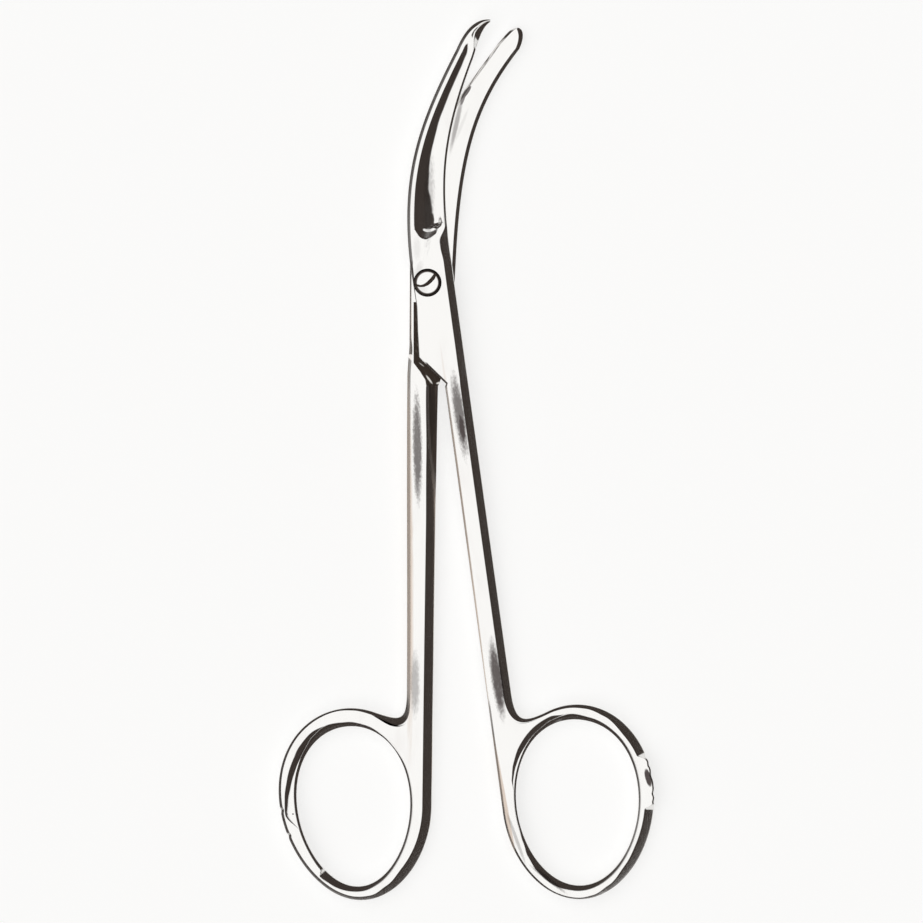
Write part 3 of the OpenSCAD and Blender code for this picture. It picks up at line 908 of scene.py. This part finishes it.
# Painted shade on the blunt half's inner side, which faces the other shank, in two tones of streaks
FLANK_SHADE_DARK, FLANK_SHADE_LIGHT = (0.12, 0.1, 0.088), (0.2, 0.16, 0.135)
FLANK_SHADE_AT = (436.5, 384, 9.0, 105, 0.5, 0.4)


def steel(name, angle, grey, tan, rim=None, shade_flank=False):
    """Polished steel with fine lines along the shank, cloudy areas, grey marks that are partly wear and
    partly painted shade and reflection, and tan edges that are a painted reflection.

    A rim, in pixels, paints shade on what lies outside it, the head's sloping edge. A shade flank paints
    shade on the upward facets of the shank's inner side that face right, and makes them rougher.
    """
    n = Nodes(name)
    along = n.mapping((0, 0, 0), (0.0006, 0.012, 0.0006), angle)
    lines = n.noise(along, 3.0, 4.0, 0.6)
    cloud = n.noise(n.mapping((0, 0, 0), (0.004, 0.012, 0.004), angle), 1.6, 3.0)
    fleck = n.noise(n.mapping((0, 0, 0), (0.00026, 0.0006, 0.00026), angle), 1.0, 5.0, 0.75)
    streak = n.noise(n.mapping((0, 0, 0), (0.0002, 0.004, 0.0002), angle), 1.0, 3.0, 0.6)
    color = n.mix(n.ramp(cloud, 0.45, 0.8), BRIGHT, CLOUDY)
    marks_and_painted_light = None
    # tan: painted edge reflection; grey: wear marks and painted shade
    for paint, texture, marks in ((TAN_EDGE_REFLECTION, streak, tan), (GREY_MARK_AND_SHADE, fleck, grey)):
        cover = None
        for x, y, hw, hl, a, soft, grain, amount in marks:
            spot = n.spot(x, y, hw, hl, a, soft)
            grained = n.math("MULTIPLY_ADD", n.math("SUBTRACT", texture, 0.5), grain, spot)
            share = n.math("MULTIPLY", n.ramp(grained, 0.05, 1.0), n.ramp(spot, 0.0, 0.3))
            share = n.math("MULTIPLY", share, amount)
            cover = share if cover is None else n.math("MAXIMUM", cover, share)
        if cover is not None:
            color = n.mix(cover, color, paint)
            marks_and_painted_light = cover if marks_and_painted_light is None else n.math("MAXIMUM", marks_and_painted_light, cover)
    # painted shade on the screw head's sloping rim, outside the radius rim
    if rim:
        inside = n.spot(*PIVOT_PX, rim, rim, 0, 0.1)
        color = n.mix(inside, RIM_SHADE, color)
    # painted shade on the upward facets that face right, toward the other shank, with a rougher finish
    if shade_flank:
        normal = n.split(n.coord.outputs["Normal"])
        mask = n.math("MULTIPLY", n.ramp(normal[0], 0.35, 0.5), n.spot(*FLANK_SHADE_AT))
        mask = n.math("MULTIPLY", mask, n.ramp(normal[2], 0.1, 0.3))
        color = n.mix(mask, color, n.mix(n.ramp(streak, 0.45, 0.8), FLANK_SHADE_DARK, FLANK_SHADE_LIGHT))
    rough = n.math("MULTIPLY_ADD", lines, 0.08, 0.085)
    if shade_flank:
        rough = n.math("MULTIPLY_ADD", mask, 0.4, rough)
    if marks_and_painted_light is not None:
        rough = n.math("ADD", rough, n.math("MULTIPLY", marks_and_painted_light, 0.15))
    return n.finish(color, rough, lines, 0.05, 0.00002)


def recess():
    """Painted shade in the milled recess, the countersink and the slot, with three lighter marks, the second
    a painted highlight on the recess floor's rounded end.
    """
    n = Nodes("steel_recess_shade")
    grain = n.noise(n.mapping((0, 0, 0), (0.0003, 0.0012, 0.0003), 20.0), 1.0, 4.0, 0.65)
    color = n.mix(n.ramp(grain, 0.5, 0.85), DARK, SHADE_GRAIN_TONE)
    # lighter marks over the painted shade; the second is a painted highlight on the rounded end of the
    # recess floor
    first_mark = n.spot(429.2, 379.5, 0.9, 5.0, 36.6, 0.6)
    second = n.spot(438.5, 383.0, 2.2, 1.0, 15.0, 0.8)
    third = n.spot(421.5, 364.5, 0.5, 3.0, 52.0, 0.8)
    light = n.math("MAXIMUM", first_mark, n.math("MAXIMUM", second, n.math("MULTIPLY", third, 0.5)))
    color = n.mix(light, color, LIGHT_MARK)
    return n.finish(color, n.math("MULTIPLY_ADD", grain, 0.2, 0.2), grain, 0.2, 0.00002)


# Grey marks, which are wear and on the blunt blade painted shade and reflection, and tan edges, which are a
# painted reflection: x, y, half width, half length in pixels, angle, softness, grain, amount
HOOKED_GREY = [
    (459.5, 415, 5.0, 38, 8.5, 1.2, 1.3, 0.85),
    (462, 428, 3.4, 18, 8.0, 1.2, 0.9, 1.0),
    (497, 679, 5.2, 36, 8.2, 1.1, 1.1, 0.95),
    (429, 200, 4.5, 40, -2.0, 1.5, 2.2, 0.35),
    (417, 249, 3.5, 11, 0.0, 1.6, 1.0, 0.12),
    (418.5, 271, 3.5, 9, -20.0, 1.6, 1.0, 0.15),
    (648, 777.5, 3.0, 9, 14.0, 0.5, 1.2, 1.0),
    (516, 838, 1.6, 26, 20.0, 1.2, 1.2, 0.4),
    (548, 879, 2.0, 20, 52.0, 1.0, 1.2, 0.6),
]
# tan bands painted as the reflection along the hooked half's left edges
HOOKED_TAN_REFLECTION = [
    (470.5, 576, 2.2, 200, 7.4, 0.8, 0.5, 1.0),
    (504, 800, 2.2, 90, 10.5, 0.8, 0.5, 1.0),
]
BLUNT_MARKS_AND_SHADE = [
    (417.5, 448, 4.2, 50, 1.0, 1.1, 1.6, 0.85),
    (415, 684, 4.2, 28, 0.0, 1.4, 1.1, 0.5),
    # these four spots are painted shade and reflection of the hooked blade's edge on the blunt blade
    (466.0, 92.5, 2.1, 8.2, -36.0, 0.4, 0.3, 0.9),
    (463.2, 97.5, 1.8, 8.5, -18.0, 0.5, 0.3, 0.8),
    (456.5, 123, 2.3, 26, -12.5, 1.3, 0.5, 0.55),
    (461.5, 125, 1.6, 16, -22.0, 1.5, 0.6, 0.12),
    (287, 814, 0.9, 0.9, 0.0, 0.6, 0.2, 0.8),
    (293, 814, 0.9, 0.9, 0.0, 0.6, 0.2, 0.8),
]
SCREW_GREY = [(421, 290, 6, 4, 0, 1.4, 1.0, 0.12)]
# tan bands painted as the reflection along the blunt half's left edges
BLUNT_TAN_REFLECTION = [
    (407.8, 530, 4.6, 192, 0.6, 1.0, 0.6, 1.0),
    (410.5, 320, 1.2, 44, 0.3, 1.0, 0.6, 0.6),
]
steel("steel_hooked", OPENING, HOOKED_GREY, HOOKED_TAN_REFLECTION)
steel("steel_blunt", 0.0, BLUNT_MARKS_AND_SHADE, BLUNT_TAN_REFLECTION, shade_flank=True)
steel("steel_screw", 34.0, SCREW_GREY, [], rim=10.7)
recess()

for obj, node, body, slot in (
    (hooked, "hooked_half", "hooked_body", "polished_steel"),
    (blunt, "blunt_half", "blunt_body", "polished_steel"),
    (screw, "pivot_screw", "blunt_body", "screw_steel"),
):
    soften(obj)
    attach(obj, body)
    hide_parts(node)


# Floor, light and camera, in metres
STUDIO_R = 3.0
BACKDROP_H = 0.32
GLOW = 0.66  # own light of the floor and backdrop in the camera's and reflected view
DISC_TILT = 20  # degrees from straight above, towards -X
DISC_EDGE = (44, 56)  # degrees from the disc's centre over which it fades out


def studio_material():
    """Pale diffuse surface that shows as white to the camera and in the steel."""
    mat = bpy.data.materials.new("pale_floor")
    mat.use_nodes = True
    t = mat.node_tree
    t.nodes.clear()
    path = t.nodes.new("ShaderNodeLightPath")
    seen = path.outputs["Is Camera Ray"]
    for other in ("Is Glossy Ray", "Is Transmission Ray"):
        m = t.nodes.new("ShaderNodeMath")
        m.operation = "MAXIMUM"
        t.links.new(seen, m.inputs[0])
        t.links.new(path.outputs[other], m.inputs[1])
        seen = m.outputs[0]
    glow = t.nodes.new("ShaderNodeMath")
    glow.operation = "MULTIPLY"
    glow.inputs[1].default_value = GLOW
    t.links.new(seen, glow.inputs[0])
    e = t.nodes.new("ShaderNodeEmission")
    e.inputs["Color"].default_value = (1.0, 0.998, 0.992, 1)
    t.links.new(glow.outputs[0], e.inputs["Strength"])
    d = t.nodes.new("ShaderNodeBsdfDiffuse")
    d.inputs["Color"].default_value = (0.44, 0.44, 0.437, 1)
    s = t.nodes.new("ShaderNodeAddShader")
    t.links.new(e.outputs[0], s.inputs[0])
    t.links.new(d.outputs[0], s.inputs[1])
    out = t.nodes.new("ShaderNodeOutputMaterial")
    t.links.new(s.outputs[0], out.inputs["Surface"])
    return mat


pale = studio_material()
bpy.ops.mesh.primitive_circle_add(vertices=128, radius=STUDIO_R, fill_type="NGON", location=(0, 0, -0.00003))
floor = bpy.context.object
floor.name = "floor"
floor.data.materials.append(pale)
bpy.ops.mesh.primitive_cylinder_add(
    vertices=128, radius=STUDIO_R, depth=BACKDROP_H, end_fill_type="NOTHING", location=(0, 0, BACKDROP_H / 2)
)
backdrop = bpy.context.object
backdrop.name = "backdrop"
backdrop.data.materials.append(pale)

# A wide bright disc in dark, warm surroundings
world = bpy.data.worlds.new("studio")
bpy.context.scene.world = world
world.use_nodes = True
t = world.node_tree
t.nodes.clear()
coord = t.nodes.new("ShaderNodeTexCoord")
dot = t.nodes.new("ShaderNodeVectorMath")
dot.operation = "DOT_PRODUCT"
t.links.new(coord.outputs["Generated"], dot.inputs[0])
tilt = math.radians(DISC_TILT)
dot.inputs[1].default_value = (-math.sin(tilt), 0.0, math.cos(tilt))
soft = t.nodes.new("ShaderNodeMapRange")
soft.interpolation_type = "SMOOTHSTEP"
soft.inputs["From Min"].default_value = math.cos(math.radians(DISC_EDGE[1]))
soft.inputs["From Max"].default_value = math.cos(math.radians(DISC_EDGE[0]))
t.links.new(dot.outputs["Value"], soft.inputs["Value"])
mix = t.nodes.new("ShaderNodeMix")
mix.data_type = "RGBA"
t.links.new(soft.outputs[0], mix.inputs["Factor"])
mix.inputs["A"].default_value = (0.052, 0.042, 0.037, 1)
mix.inputs["B"].default_value = (1.19, 1.19, 1.185, 1)
background = t.nodes.new("ShaderNodeBackground")
t.links.new(mix.outputs["Result"], background.inputs["Color"])
out = t.nodes.new("ShaderNodeOutputWorld")
t.links.new(background.outputs[0], out.inputs["Surface"])

camera = bpy.data.cameras.new("camera")
camera.lens = 200
camera.sensor_width = 36
camera.clip_start = 0.05
camera.clip_end = 20
eye = bpy.data.objects.new("camera", camera)
bpy.context.scene.collection.objects.link(eye)
eye.location = (0.00466, -0.02449, 0.7034 + 0.002)
bpy.context.scene.camera = eye

scene = bpy.context.scene
scene.view_settings.view_transform = "Standard"

bpy.context.view_layer.update()
